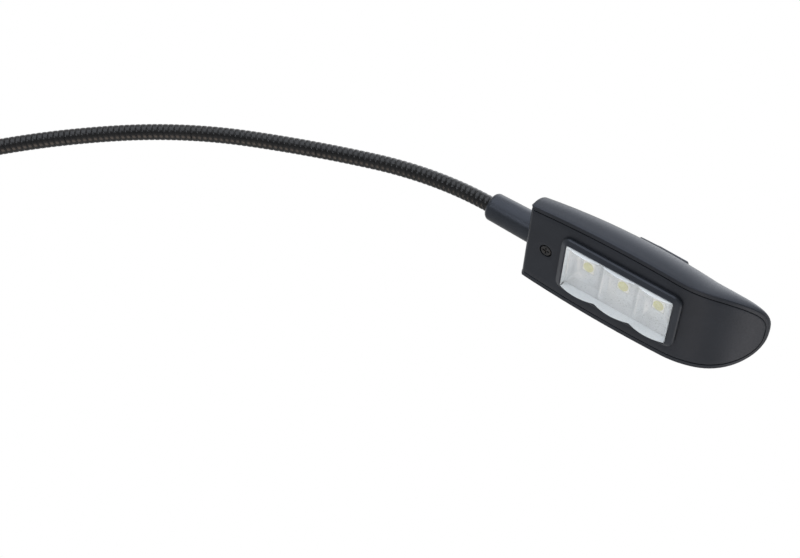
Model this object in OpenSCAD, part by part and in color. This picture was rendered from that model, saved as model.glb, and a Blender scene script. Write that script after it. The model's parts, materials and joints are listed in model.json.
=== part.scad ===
// Clip-on music stand light: a battery clip, a ribbed gooseneck and a lamp head with three LEDs.
// Millimetres, +Z up. The origin is the middle of the fixed jaw pad's gripping face.
// The neck rises from the clip, arches over towards +X and carries the head at its far end.

/* [Gooseneck] */
// Outside diameter of the ribbed neck
neck_d = 6; // [5:0.1:6.6]
// Bore of the neck
neck_bore = 3.4; // [2.6:0.1:4]
// Distance from one rib to the next
rib_pitch = 2.1; // [1.9:0.05:2.3]
// Depth of the groove between two ribs
rib_depth = 0.45; // [0.2:0.05:0.7]
// Ribs from one bend point to the next
ribs_per_length = 23; // [18:1:24]
// Ribs in the straight stretch at each end
straight_ribs = 3; // [3:1:5]
// Ribs inside the socket at the clip
seat_ribs = 3; // [2:1:4]
// Diameter of the lead inside the neck
lead_d = 1.8; // [1:0.1:2.2]

/* [Lamp head] */
// Length of the head, rear wall to front edge
head_len = 93.1; // [88:0.1:98]
// Width of the head at its widest place
head_w = 39.2; // [37.6:0.2:40]
// Radius of the head's long sides in plan
side_r = 420; // [360:10:600]
// Distance from the rear wall to the widest place
side_x = 42.1; // [38:0.1:45]
// Wall of the cover, seen from below as its rim
cover_wall = 1.8; // [1.4:0.1:2]
// Wall of the cover at its front edge
front_wall = 0.7; // [0.6:0.05:0.8]
// Distance from the rear wall to where the front starts to narrow
nose_x = 73.6; // [71:0.1:75]
// Roundness of the front in plan: 2 is an ellipse
nose_power = 2.6; // [2.2:0.1:3]
// Highest point of the cover above the flat underside
arch_top = 18.8; // [18.5:0.1:20]
// Radius of the cover's long arch
arch_r = 450; // [420:5:600]
// Distance from the rear wall to the top of the arch
arch_x = 71.6; // [68:0.2:75]
// Shoulder radius of the cover at its rear
shoulder_rear = 10.3; // [8:0.1:11]
// Shoulder radius of the cover at its front
shoulder_front = 18.4; // [14:0.2:20]
// Distance from the rear wall to where the underside starts to rise
ramp_x = 62.1; // [60:0.1:64]
// How far the underside has risen at the front edge
front_rise = 17.2; // [15:0.1:17.3]
// Turn of the head about the neck's end
head_roll = -53; // [-70:1:-40]

/* [Underside] */
// Thickness of the underside plate
plate_t = 2; // [1.6:0.1:2.4]
// Groove between the plate and the cover's rim
plate_gap = 0.35; // [0.2:0.05:0.5]
// Window length
window_l = 45.2; // [42:0.2:47]
// Window width
window_w = 20.2; // [18:0.2:22]
// Middle of the window from the rear wall
window_x = 40.9; // [39.6:0.1:42]
// Bezel length
bezel_l = 50.6; // [50:0.2:54]
// Bezel width
bezel_w = 24.6; // [24.4:0.2:27]
// How far the bezel stands out of the plate
bezel_h = 2.3; // [2:0.1:3]
// Corner radius of the bezel
bezel_r = 3.5; // [2:0.1:5]
// How far the lens lobes bulge out of the window
lobe_h = 1.2; // [0.6:0.1:1.6]
// Lens flange wider than the window on each side
lens_lip = 0.7; // [0.5:0.05:0.8]
// Number of LEDs and lens lobes
led_count = 3; // [2:1:4]
// Side of a square LED package
led_side = 5; // [3.5:0.1:5.2]
// Distance of the plate screw from the rear wall
screw_x = 9.2; // [8.6:0.1:9.8]
// Diameter of the screw's head
screw_head_d = 4.2; // [3.6:0.1:4.6]
// Diameter of the screw's shank
screw_d = 2.5; // [2:0.1:2.8]

/* [Switch button] */
// Length of the button along the head
button_l = 20; // [18:0.5:23]
// Width of the button across the head
button_w = 27; // [24:0.5:28]
// Middle of the button from the rear wall
button_x = 47.8; // [46.6:0.1:49]
// How far the button stands out of the cover
button_proud = 1; // [0.6:0.1:1.6]
// How far the button goes down
button_travel = 0.7; // [0.4:0.1:0.8]

/* [Collar] */
// Length of the collar between neck and head
collar_len = 20.2; // [18:0.1:23]
// How far the neck reaches into the collar
collar_seat = 11.1; // [8:0.1:12]
// Diameter of the collar at the neck
collar_d1 = 10.9; // [10.2:0.1:11.4]
// Diameter of the collar at the head
collar_d2 = 11.6; // [11.4:0.1:12.4]
// Height of the collar's axis above the flat underside
collar_z = 7.2; // [7:0.1:7.4]

/* [Clip] */
// Gap between the jaw pads at rest, the thickness of the desk it grips
jaw_gap = 5; // [4.2:0.1:8]
// Width of a jaw pad
pad_w = 30; // [24:1:34]
// Height of a jaw pad
pad_h = 24; // [20:1:28]
// Thickness of a jaw pad
pad_t = 1.6; // [1.2:0.1:2.4]
// Depth of the recess that holds a jaw pad
pad_recess = 0.8; // [0.5:0.1:0.9]
// Wall of the battery box
box_wall = 1.6; // [1.2:0.1:2.4]
// Side wall of the battery box, which holds the door's groove
side_wall = 2.4; // [2.1:0.1:3.2]
// Thickness of the battery door
door_t = 1.8; // [1.7:0.1:2.4]
// Diameter of a battery cell
cell_d = 10.5; // [10:0.1:11]
// Length of a battery cell
cell_len = 44.5; // [43:0.1:45.5]
// Thickness of the lever's jaw and handle
lever_t = 3; // [2.4:0.1:3.6]
// Length of the handle from the pivot
handle_len = 34; // [28:1:40]
// Lean of the handle away from the box at rest
handle_lean = 23; // [20:1:28]
// Height of the pivot above the middle of the pads
pivot_z = 22; // [21:0.5:26]
// Diameter of the hinge pin
pin_d = 3; // [2.4:0.1:3.4]
// Wire of the torsion spring
wire_d = 1.2; // [0.8:0.1:1.3]

/* [Hidden] */
$fn = 48;
// Clearance of pieces that fit together without moving
fit = 0.1;
// Clearance of pieces that move past each other
slack = 0.3;
// Radial clearance of the lever on its pin
running = 0.06;
// Radial clearance of the pin where the ears hold it
pin_fit = 0.02;

// Route of the neck, from the clip: how far each length bends down and turns sideways, in degrees.
bends = [26, 27, 27, 7, 11.2, 4.5, 14.8];
turns = [0, 0, 0, 0, 0, -6, -20];
lengths = len(bends);
ring_sides = 8;
ring_step = rib_pitch / 2;
lead_in = seat_ribs + straight_ribs;
rings = 2 * (2 * lead_in + lengths * ribs_per_length);
seat = seat_ribs * rib_pitch;

// Battery box
pad_proud = pad_t - pad_recess;
front_x = -pad_proud;
cell_count = 3;
cell_gap = 0.4;
bay_w = cell_count * cell_d + (cell_count + 1) * cell_gap;
bay_d = cell_d + 2 * cell_gap;
cell_x = front_x - box_wall - bay_d / 2;
back_x = front_x - box_wall - bay_d - door_t;
box_w = bay_w + 2 * side_wall;
box_bottom = -pad_h / 2 - box_wall;
bay_bottom = box_bottom + box_wall;
leaf_room = 4;
leaf_t = 0.4;
leaf_l = 0.8 * cell_d;
contact_side = 0.7 * cell_d;
cell_button_h = 1;
cell_bottom = bay_bottom + leaf_room;
cell_top = cell_bottom + cell_len;
shelf_z = cell_top + leaf_t + fit;
shelf_t = 1.2;
nut_h = 2.4;
nut_room = nut_h + 1;
top_wall = 2;
bay_top = shelf_z + shelf_t + nut_room;
box_top = bay_top + top_wall;
door_h = box_top - bay_bottom;
box_r = 2;
tongue_t = 0.7;
tongue_w = 1;
ridge_r = 0.6;
ridge_pitch = 3;
ridge_drop = 8;

// Root ferrule and collar
flange_d = 11;
flange_t = 1.5;
ferrule_d = 9.4;
ferrule_h = 12;
spigot_d = 7;
neck_x = back_x + door_t + slack + fit + flange_d / 2;
ferrule_top = box_top + ferrule_h;
lead_hole = lead_d + 0.8;
socket_d = neck_d + 2 * fit;

// Lever
pivot_x = jaw_gap + pad_proud + lever_t / 2;
lever_w = box_w - 2;
hub_r = pin_d / 2 + 2.7;
ear_r = hub_r + slack;
ear_t = 4;
hub_w = 24;
spring_room = 12.4;
wide_from = ear_r + 2 * slack + fit;
curl_play = 1.1;
curl_gap = 0.7;
spring_r = pin_d / 2 + wire_d / 2 + curl_play;
spring_pitch = wire_d + curl_gap;
turn_steps = 8;
wire_sides = 6;
box_leg_lean = 40;

// Head
nose_len = head_len - nose_x;
ramp_l = head_len - ramp_x;
ramp_r = (ramp_l * ramp_l + front_rise * front_rise) / (2 * front_rise);
arc_step = 15;
nose_turn = 86;
lip = 0.3;
window_r = 1;
rim_in = cover_wall + plate_gap;
boss_d = 5;
ledge_w = 1.6;
ledge_h = 1.5;
ledge_y = head_w / 2 - cover_wall - ledge_w / 3;
screw_len = 8;
recess_l = 0.7 * screw_head_d;
recess_w = 0.6;
recess_h = 0.8;
board_t = 1.6;
led_t = 0.9;
phosphor_t = 0.2;
phosphor_d = 0.84 * led_side;
reflector_z = 0.7;
reflector_t = 3.4;
tray_floor = 0.8;
cup_edge = 1;
cup_draft = 0.9;
eps = 0.01;
plate_rear = 2 * fit;
board_z = reflector_z + reflector_t + fit;
board_l = window_l + 5;
board_w = window_w + 1.4;
switch_side = 6;
switch_h = 3.5;
plunger_h = 1;
plunger_d = 3.4;
plunger_in = 1;
plunger_top = board_z + board_t + switch_h + plunger_h;
nut_af = 9;
collar_spigot_d = 4.6;
collar_nut_af = 6.6;
collar_nut_h = 1.6;
driver_x = window_x - 14;
chip = [5, 4, 1.5];
resistor = [2, 3.2, 0.6];
capacitor_d = 4;
capacitor_h = 4.5;
stem_d = 4;

// Place of the head: its rear wall is one collar length past the collar's mouth.
head_tilt = sum(bends) - 90;
head_pan = sum(turns);
neck_points = route(rings);
neck_end = neck_points[rings];
head_pos = neck_end - turned([collar_seat - collar_len, 0, collar_z]);

// Sums and turns
function sum(v, n = undef, i = 0) = i >= (is_undef(n) ? len(v) : n) ? 0 : v[i] + sum(v, n, i + 1);
function rot_x(a, p) = [p.x, p.y * cos(a) - p.z * sin(a), p.y * sin(a) + p.z * cos(a)];
function rot_y(a, p) = [p.x * cos(a) + p.z * sin(a), p.y, p.z * cos(a) - p.x * sin(a)];
function rot_z(a, p) = [p.x * cos(a) - p.y * sin(a), p.x * sin(a) + p.y * cos(a), p.z];
function turned(p) = rot_z(head_pan, rot_y(head_tilt, rot_x(head_roll, p)));

// The neck's direction at ring i: it starts straight up, then each length bends and turns steadily.
function length_at(i) = (i / 2 - lead_in) / ribs_per_length;
function whole(u) = max(0, min(lengths - 1, floor(u)));
function part_of(u) = max(0, min(1, u - whole(u)));
function along(v, i) = let (u = length_at(i), k = whole(u)) sum(v, k) + v[k] * part_of(u);
function heading(i) = let (p = 90 - along(bends, i), t = along(turns, i))
  [cos(p) * cos(t), cos(p) * sin(t), sin(p)];
function aside(i) = let (t = along(turns, i)) [-sin(t), cos(t), 0];
function route(n) = [
  for (i = 0, p = [neck_x, 0, ferrule_top - seat]; i <= n; p = p + ring_step * heading(i + 0.5), i = i + 1) p
];

// Ring of points round the route
function ring(p, t, n, r, sides) = let (b = cross(t, n)) [
  for (k = [0:sides - 1]) p + r * (cos(360 * k / sides) * n + sin(360 * k / sides) * b)
];
function neck_ring(i, r) = ring(neck_points[i], heading(i), aside(i), r, ring_sides);
function rib_r(i) = neck_d / 2 - (i % 2 == 0 ? rib_depth : 0);
function first_ring(j) = j == 1 ? 0 : 2 * (lead_in + (j - 1) * ribs_per_length) + 1;
function last_ring(j) = j == lengths ? rings : 2 * (lead_in + j * ribs_per_length) - 1;

// Side faces between rows of points, and the flat ends of a row
function band(a, b, m) = [
  for (k = [0:m - 1]) each [[a + k, b + k, a + (k + 1) % m], [a + (k + 1) % m, b + k, b + (k + 1) % m]]
];
function bands(start, rows, m) = [for (i = [0:rows - 2]) each band(start + i * m, start + (i + 1) * m, m)];
function flipped(f) = [for (t = f) [t[2], t[1], t[0]]];
function cap(a, m) = [for (k = [1:m - 2]) [a, a + k, a + k + 1]];

// Solid through rows of points, each row a closed loop of equal length
module loft(rows) {
  m = len(rows[0]);
  n = len(rows);
  faces = concat(bands(0, n, m), cap(0, m), flipped(cap((n - 1) * m, m)));
  polyhedron([for (r = rows) each r], faces);
}

// Tube with a bore: rows of the outside, then rows of the bore
module pipe(outer, inner) {
  m = len(outer[0]);
  n = len(outer);
  q = len(inner);
  last_o = (n - 1) * m;
  first_i = n * m;
  last_i = first_i + (q - 1) * m;
  faces = concat(bands(0, n, m), flipped(bands(first_i, q, m)), band(first_i, 0, m), band(last_o, last_i, m));
  polyhedron([for (r = concat(outer, inner)) each r], faces);
}

// Flat shapes
module rounded(l, w, r, sides = $fn) {
  square([l, w - 2 * r], center = true);
  square([l - 2 * r, w], center = true);
  for (x = [-1, 1], y = [-1, 1]) translate([x * (l / 2 - r), y * (w / 2 - r)]) circle(r, $fn = sides);
}
module along_y(w) { rotate([90, 0, 0]) translate([0, 0, -w / 2]) linear_extrude(w) children(); }
module in_head() { translate(head_pos) rotate([head_roll, head_tilt, head_pan]) children(); }
module at_pivot() { translate([pivot_x, 0, pivot_z]) children(); }
module hex(af, h) { rotate(30) cylinder(d = af / cos(30), h = h, $fn = 6); }

// Clip: a battery box whose front wall is the fixed jaw
module clip_housing() color("#232427") {
  difference() {
    union() {
      translate([(front_x + back_x) / 2, 0, box_bottom]) linear_extrude(box_top - box_bottom)
        rounded(front_x - back_x, box_w, box_r);
      for (s = [-1, 1]) translate([0, s * (hub_w / 2 + slack + ear_t / 2), 0]) along_y(ear_t) ear_outline();
    }
    difference() {
      translate([back_x - 1, -bay_w / 2, bay_bottom])
        cube([front_x - box_wall - back_x + 1, bay_w, bay_top - bay_bottom]);
      translate([front_x - box_wall - bay_d + slack, -bay_w / 2 - 1, shelf_z])
        cube([bay_d, bay_w + 2, shelf_t]);
    }
    translate([back_x - 1, -bay_w / 2, bay_bottom]) cube([door_t + slack + 1, bay_w, door_h + 1]);
    translate([back_x + (door_t - tongue_t) / 2 - fit, -bay_w / 2 - tongue_w - fit, bay_bottom])
      cube([tongue_t + 2 * fit, bay_w + 2 * (tongue_w + fit), door_h + 1]);
    translate([front_x - pad_recess, -pad_w / 2 - fit, -pad_h / 2 - fit])
      cube([pad_recess + 1, pad_w + 2 * fit, pad_h + 2 * fit]);
    translate([neck_x, 0, bay_top - 1]) cylinder(d = spigot_d + 2 * fit, h = top_wall + 2);
    translate([neck_x, 0, shelf_z - 1]) cylinder(d = lead_hole, h = shelf_t + 2);
    at_pivot() along_y(box_w + 2) circle(pin_d / 2 + pin_fit);
  }
}
module ear_outline() {
  translate([pivot_x, pivot_z]) circle(ear_r);
  translate([front_x - box_wall / 2, pivot_z - ear_r]) square([pivot_x - front_x + box_wall / 2, 2 * ear_r]);
}

// Sliding door on the back of the box, with three ridges for the thumb
module battery_door() color("#232427") {
  translate([back_x, -bay_w / 2 + slack / 2, bay_bottom + fit]) cube([door_t, bay_w - slack, door_h - fit]);
  translate([back_x + (door_t - tongue_t) / 2, -bay_w / 2 - tongue_w + slack / 2, bay_bottom + fit])
    cube([tongue_t, bay_w + 2 * tongue_w - slack, door_h - fit]);
  for (k = [0:2]) translate([back_x, 0, box_top - ridge_drop - ridge_pitch * k])
    along_y(bay_w / 2) circle(ridge_r);
}

module each_cell() {
  for (k = [0:cell_count - 1])
    translate([cell_x, (k - (cell_count - 1) / 2) * (cell_d + cell_gap), 0]) children();
}
module battery_cells() color("#9a9da3") each_cell() translate([0, 0, cell_bottom]) {
  cylinder(d = cell_d, h = cell_len - cell_button_h);
  cylinder(d = cell_d / 2, h = cell_len);
}
module contact_leaves() color("#c9ccd1") each_cell() translate([0, 0, bay_bottom]) along_y(cell_d / 2) {
  reach = leaf_l / 2;
  top = leaf_room - fit;
  translate([-reach, 0]) square([2 * reach, leaf_t]);
  polygon([[reach, 0], [reach, leaf_t], [-reach, top], [-reach, top - leaf_t]]);
}
module contact_plates() color("#c9ccd1") each_cell()
  translate([-contact_side / 2, -contact_side / 2, cell_top + fit])
    cube([contact_side, contact_side, leaf_t]);

// Lever: jaw below the pivot, handle above it, and two hubs with room for the spring between them
module clip_lever() color("#232427") difference() {
  union() {
    at_pivot() along_y(hub_w) {
      circle(hub_r);
      rotate(-handle_lean) translate([-lever_t / 2, 0]) square([lever_t, wide_from + 1]);
      translate([-lever_t / 2, -wide_from - 1]) square([lever_t, wide_from + 1]);
    }
    at_pivot() along_y(lever_w) {
      rotate(-handle_lean) translate([-lever_t / 2, wide_from])
        square([lever_t, handle_len - wide_from - lever_t / 2]);
      rotate(-handle_lean) translate([0, handle_len - lever_t / 2]) circle(lever_t / 2);
      translate([-lever_t / 2, box_bottom - pivot_z]) square([lever_t, pivot_z - box_bottom - wide_from]);
    }
  }
  at_pivot() along_y(box_w) circle(pin_d / 2 + running);
  at_pivot() along_y(spring_room) circle(wide_from);
  translate([jaw_gap + pad_proud - 1, -pad_w / 2 - fit, -pad_h / 2 - fit])
    cube([pad_recess + 1, pad_w + 2 * fit, pad_h + 2 * fit]);
}
module hinge_pin() color("#b9bcc2") at_pivot() rotate([90, 0, 0])
  cylinder(d = pin_d, h = hub_w + 2 * (slack + ear_t), center = true);

// Torsion spring: handle leg, curls and box leg, all one wire round the pin
spring_start = 180 - handle_lean;
spring_turn = 4 * 360 + box_leg_lean + 360 - spring_start;
spring_w = spring_pitch * spring_turn / 360;
handle_leg = 20;
box_leg = (pivot_x - front_x + spring_r * cos(box_leg_lean) - wire_d / 2 - slack) / sin(box_leg_lean);
curl_steps = floor(turn_steps * spring_turn / 360);
function coil_point(u) = let (a = spring_start + spring_turn * u)
  [spring_r * cos(a), spring_w * (0.5 - u), spring_r * sin(a)];
function wire_points() = concat(
  [coil_point(0) + handle_leg * [sin(handle_lean), 0, cos(handle_lean)]],
  [for (k = [0:curl_steps]) coil_point(k / curl_steps)],
  [coil_point(1) + box_leg * [-sin(box_leg_lean), 0, cos(box_leg_lean)]]
);
function unit(v) = v / norm(v);
function run(p, i) = unit(p[min(i + 1, len(p) - 1)] - p[max(i - 1, 0)]);
function square_to(t, v) = unit(v - (v * t) * t);
function radial(p) = [p.x, 0, p.z];
module torsion_spring() color("#c3c6cb") at_pivot() {
  p = wire_points();
  loft([
    for (i = [0:len(p) - 1]) let (t = run(p, i))
      ring(p[i], t, square_to(t, radial(p[i])), wire_d / 2, wire_sides)
  ]);
  turn_gaps = [
    for (k = [0:curl_steps - turn_steps])
      norm(coil_point((k + turn_steps) / curl_steps) - coil_point(k / curl_steps)) - wire_d
  ];
  echo(least_spring_gap = min(turn_gaps));
}

// Rubber grips of the two jaws
module jaw_pad() {
  rotate([0, 90, 0]) linear_extrude(pad_t) rounded(pad_h, pad_w, box_r);
}
module fixed_jaw_pad() color("#3a3a3c") translate([-pad_t, 0, 0]) jaw_pad();
module lever_jaw_pad() color("#3a3a3c") translate([jaw_gap, 0, 0]) jaw_pad();

// Root ferrule on top of the box, and the nut under the top wall
module root_ferrule() color("#2b2c2f") translate([neck_x, 0, 0]) difference() {
  union() {
    translate([0, 0, box_top]) cylinder(d = flange_d, h = flange_t);
    translate([0, 0, box_top]) cylinder(d1 = ferrule_d + 1, d2 = ferrule_d, h = ferrule_h);
    translate([0, 0, bay_top - nut_h - fit]) cylinder(d = spigot_d, h = top_wall + nut_h + 1);
  }
  translate([0, 0, ferrule_top - seat - fit]) cylinder(d = socket_d, h = seat + 1);
  translate([0, 0, shelf_z]) cylinder(d = lead_hole, h = ferrule_h + nut_room + seat);
}
module root_nut() color("#b9bcc2") translate([neck_x, 0, bay_top - nut_h - fit]) difference() {
  hex(nut_af, nut_h);
  translate([0, 0, -1]) cylinder(d = spigot_d + fit, h = nut_h + 2);
}

// One length of the ribbed neck, and of the lead inside it
module gooseneck(j) color("#1d1d1f") {
  a = first_ring(j);
  b = last_ring(j);
  pipe([for (i = [a:b]) neck_ring(i, rib_r(i))],
    [for (i = concat([for (k = [a:4:b - 2]) k], [b])) neck_ring(i, neck_bore / 2)]);
}
module lead(j) color("#4a4a4d") {
  a = first_ring(j);
  b = last_ring(j);
  below = [neck_x, 0, shelf_z] - neck_points[0];
  above = turned([collar_len - collar_seat + cover_wall, 0, 0]);
  loft(concat(
    j == 1 ? [ring(neck_points[0] + below, heading(0), aside(0), lead_d / 2, ring_sides)] : [],
    [for (i = concat([for (k = [a:4:b - 2]) k], [b])) neck_ring(i, lead_d / 2)],
    j == lengths ? [ring(neck_end + above, heading(rings), aside(rings), lead_d / 2, ring_sides)] : []
  ));
}

// Collar: a turned sleeve with a rounded mouth, a threaded spigot and its nut
module head_collar() color("#2b2c2f") in_head() translate([-collar_len, 0, collar_z]) rotate([0, 90, 0]) {
  mouth_r = 1.8;
  difference() {
    union() {
      rotate_extrude() polygon(concat(
        [[0, 0]],
        [for (a = [-90:15:0]) [collar_d1 / 2 - mouth_r + mouth_r * cos(a), mouth_r + mouth_r * sin(a)]],
        [[collar_d2 / 2, collar_len], [0, collar_len]]
      ));
      cylinder(d = collar_spigot_d, h = collar_len + cover_wall + collar_nut_h);
    }
    translate([0, 0, -1]) cylinder(d = socket_d, h = collar_seat + fit + 1);
    cylinder(d = lead_hole, h = 2 * collar_len);
  }
}
module collar_nut() color("#b9bcc2") in_head() translate([cover_wall + fit, 0, collar_z]) rotate([0, 90, 0])
  difference() {
    hex(collar_nut_af, collar_nut_h - fit);
    translate([0, 0, -1]) cylinder(d = collar_spigot_d + fit, h = collar_nut_h + 2);
  }

// Form of the head at a distance x from the rear wall, drawn in by e
function front_in(e) = e * front_wall / cover_wall;
function side_y(x, e) = head_w / 2 - side_r + sqrt(side_r * side_r - pow(x - side_x, 2)) - e;
function plan_w(x, e) = let (t = max(0, min(1, (x - nose_x) / (nose_len - front_in(e)))))
  side_y(x, e) * pow(1 - pow(t, nose_power), 1 / nose_power);
function under_z(x) = x <= ramp_x ? 0 : ramp_r - sqrt(ramp_r * ramp_r - pow(x - ramp_x, 2));
function arch_z(x) = arch_top - arch_r + sqrt(arch_r * arch_r - pow(x - arch_x, 2));
function shoulder(x) = shoulder_rear + (shoulder_front - shoulder_rear) * x / head_len;
function section(x, e, drop) = let (
  w = plan_w(x, e), low = under_z(x), top = max(arch_z(x) - e, low + lip), r = shoulder(x) - e,
  ry = min(r, w - lip), rz = min(r, top - low - lip / 2)
) concat(
  [[x, w, low - drop]],
  [for (a = [0:arc_step:90]) [x, w - ry + ry * cos(a), top - rz + rz * sin(a)]],
  [for (a = [90:arc_step:180]) [x, ry - w + ry * cos(a), top - rz + rz * sin(a)]],
  [[x, -w, low - drop]]
);
function stations(from, e) = concat(
  [for (k = [0:4]) from + (ramp_x - from) * k / 5],
  [for (k = [0:2]) ramp_x + (nose_x - ramp_x) * k / 3],
  [for (k = [0:9]) nose_x + (nose_len - front_in(e)) * sin(nose_turn * k / 9)]
);
module head_form(from, e, drop = 0) {
  loft([for (x = stations(from, e)) section(x, e, drop)]);
}
// Curved slab under the cover's top, between two depths, as long and wide as asked
module top_slab(outer, inner, l, w) {
  xs = [for (k = [0:3]) button_x - l / 2 - 1 + (l + 2) * k / 3];
  intersection() {
    difference() {
      loft([for (x = xs) section(x, outer, 0)]);
      translate([-1, 0, 0]) loft([for (x = [xs[0], xs[3] + 2]) section(x, inner, 1)]);
    }
    translate([button_x - l / 2, -w / 2, plunger_top]) cube([l, w, arch_top]);
  }
}
// Everything above the underside, seen from the side, raised by h
module above(h) {
  translate([-1, h]) square([ramp_x + 1, 2 * arch_top]);
  translate([ramp_x, ramp_r + h]) circle(ramp_r, $fn = 180);
}

// Cover: a shell, open below, with a low notch in its rear wall for the end of the plate
notch_w = 2 * plan_w(cover_wall, cover_wall);
module head_cover() color("#2a2b2e") in_head() difference() {
  union() {
    difference() {
      head_form(0, 0);
      head_form(cover_wall, cover_wall, plate_t + 3);
      translate([-1, -notch_w / 2, -1]) cube([cover_wall + 2, notch_w, plate_t + 2 * fit + 1]);
    }
    translate([screw_x, 0, plate_t + 2 * fit])
      cylinder(d = boss_d, h = arch_z(screw_x) - cover_wall / 2 - plate_t);
    for (s = [-1, 1]) translate([screw_x + boss_d, s * ledge_y - ledge_w / 2, plate_t + fit])
      cube([ramp_x - screw_x - 2 * boss_d, ledge_w, ledge_h]);
  }
  translate([screw_x, 0, 0]) cylinder(d = screw_d + fit, h = screw_len + 1);
  translate([button_x - button_l / 2 - slack, -button_w / 2 - slack, plunger_top])
    cube([button_l + 2 * slack, button_w + 2 * slack, arch_top]);
  translate([-1, 0, collar_z]) rotate([0, 90, 0]) cylinder(d = collar_spigot_d + 2 * fit, h = cover_wall + 2);
}

// Underside plate: flat, then rising with the cover's front, with the window and the screw's counterbore
counterbore_d = screw_head_d + 1;
counterbore_h = 1.3;
opening_l = window_l + 2 * lens_lip + 1;
opening_w = window_w + 2 * lens_lip + 0.8;
module base_plate() color("#26272a") in_head() difference() {
  intersection() {
    head_form(plate_rear, rim_in, plate_t);
    along_y(head_w) difference() {
      above(0);
      above(plate_t);
    }
  }
  translate([window_x, 0, -1]) linear_extrude(plate_t + 2) rounded(opening_l, opening_w, window_r);
  translate([screw_x, 0, -1]) cylinder(d = counterbore_d, h = counterbore_h + 1);
  translate([screw_x, 0, -1]) cylinder(d = screw_d + 2 * fit, h = plate_t + 2);
}
module bezel() color("#26272a") in_head() translate([window_x, 0, -bezel_h]) difference() {
  linear_extrude(bezel_h - fit / 2) rounded(bezel_l, bezel_w, bezel_r);
  translate([0, 0, -1]) linear_extrude(bezel_h + 2) rounded(window_l, window_w, window_r);
  translate([0, 0, bezel_h / 2]) linear_extrude(bezel_h)
    rounded(window_l + 2 * lens_lip + fit, window_w + 2 * lens_lip + fit, window_r);
}

// Clear lens: a flange behind the bezel and one rounded lobe for each LED
lobe_pitch = (window_l - 4 * fit) / led_count;
lobe_r = (lobe_pitch * lobe_pitch / 4 + lobe_h * lobe_h) / (2 * lobe_h);
flange_z = -bezel_h / 2 + fit;
module each_led() {
  for (k = [0:led_count - 1])
    translate([window_x + (k - (led_count - 1) / 2) * lobe_pitch, 0, 0]) children();
}
module lens() color("#cfd6da", 0.5) in_head() {
  translate([window_x, 0, flange_z]) linear_extrude(reflector_z - fit - flange_z) lens_outline();
  intersection() {
    translate([window_x, 0, -bezel_h - lobe_h]) linear_extrude(bezel_h + lobe_h)
      rounded(window_l - 4 * fit, window_w - 4 * fit, window_r);
    each_led() along_y(window_w) intersection() {
      translate([0, lobe_r - bezel_h - lobe_h]) circle(lobe_r, $fn = 120);
      translate([-lobe_pitch / 2, -bezel_h - lobe_h]) square([lobe_pitch, bezel_h + lobe_h - fit]);
    }
  }
}
module lens_outline() { rounded(window_l + 2 * lens_lip - fit, window_w + 2 * lens_lip - fit, window_r); }
// Bright tray: a square cup with sloping walls for each LED, which shows through the floor
module cup() hull() {
  l = lobe_pitch - cup_edge;
  w = window_w - cup_edge;
  translate([0, 0, -eps]) linear_extrude(eps) rounded(l, w, window_r, 16);
  translate([0, 0, reflector_t - tray_floor - eps]) linear_extrude(eps)
    rounded(l - 2 * cup_draft, w - 2 * cup_draft, window_r, 16);
}
module reflector() color("#d9dcdf") in_head() difference() {
  translate([window_x, 0, reflector_z]) linear_extrude(reflector_t) lens_outline();
  each_led() translate([0, 0, reflector_z]) cup();
  each_led() translate([0, 0, reflector_z]) linear_extrude(reflector_t + 1)
    square(led_side + 2 * fit, center = true);
}
module led_board() color("#e8e6dc") in_head() translate([window_x - board_l / 2, -board_w / 2, board_z])
  cube([board_l, board_w, board_t]);
module leds() color("#f2efe4") in_head() each_led() translate([-led_side / 2, -led_side / 2, board_z - led_t])
  cube([led_side, led_side, led_t]);
module led_phosphors() color("#f0c52e") in_head() each_led() translate([0, 0, board_z - led_t - phosphor_t])
  cylinder(d = phosphor_d, h = phosphor_t);

// On the board: driver chip, two resistors, a capacitor, and the switch under the button
module driver_parts() color("#303236") in_head() translate([driver_x, 0, board_z + board_t]) {
  translate([0, -chip.y, 0]) cube(chip);
  for (k = [0, 1]) translate([2 * k * resistor.x, resistor.y, 0]) cube(resistor);
  translate([0, -2 * capacitor_d, 0]) cylinder(d = capacitor_d, h = capacitor_h);
}
module tact_switch() color("#3b3d40") in_head() translate([button_x, 0, board_z + board_t]) difference() {
  translate([-switch_side / 2, -switch_side / 2, 0]) cube([switch_side, switch_side, switch_h]);
  translate([0, 0, switch_h - plunger_in - button_travel - slack])
    cylinder(d = plunger_d + 2 * running, h = switch_h);
}
module switch_plunger() color("#6b6d70") in_head()
  translate([button_x, 0, plunger_top - plunger_h - plunger_in])
    cylinder(d = plunger_d, h = plunger_in + plunger_h);

// Button: a curved pad through the cover, a flange under it and a stem down to the switch
module switch_button() color("#303134") in_head() {
  flange = 1;
  in_1 = cover_wall + slack;
  top_slab(-button_proud, in_1 + flange / 2, button_l, button_w);
  top_slab(in_1, in_1 + flange, button_l + 2 * flange, button_w + 2 * flange);
  translate([button_x, 0, plunger_top])
    cylinder(d = stem_d, h = arch_z(button_x) - in_1 - flange / 2 - plunger_top);
}

// Pan-head screw with a cross recess, from below
module plate_screw() color("#17181a") in_head() translate([screw_x, 0, 0]) difference() {
  union() {
    translate([0, 0, fit]) cylinder(d = screw_head_d, h = counterbore_h - fit);
    translate([0, 0, fit]) cylinder(d = screw_d, h = screw_len);
  }
  for (a = [0, 90]) rotate(a) translate([-recess_l / 2, -recess_w / 2, -1])
    cube([recess_l, recess_w, recess_h + 1]);
}

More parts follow.
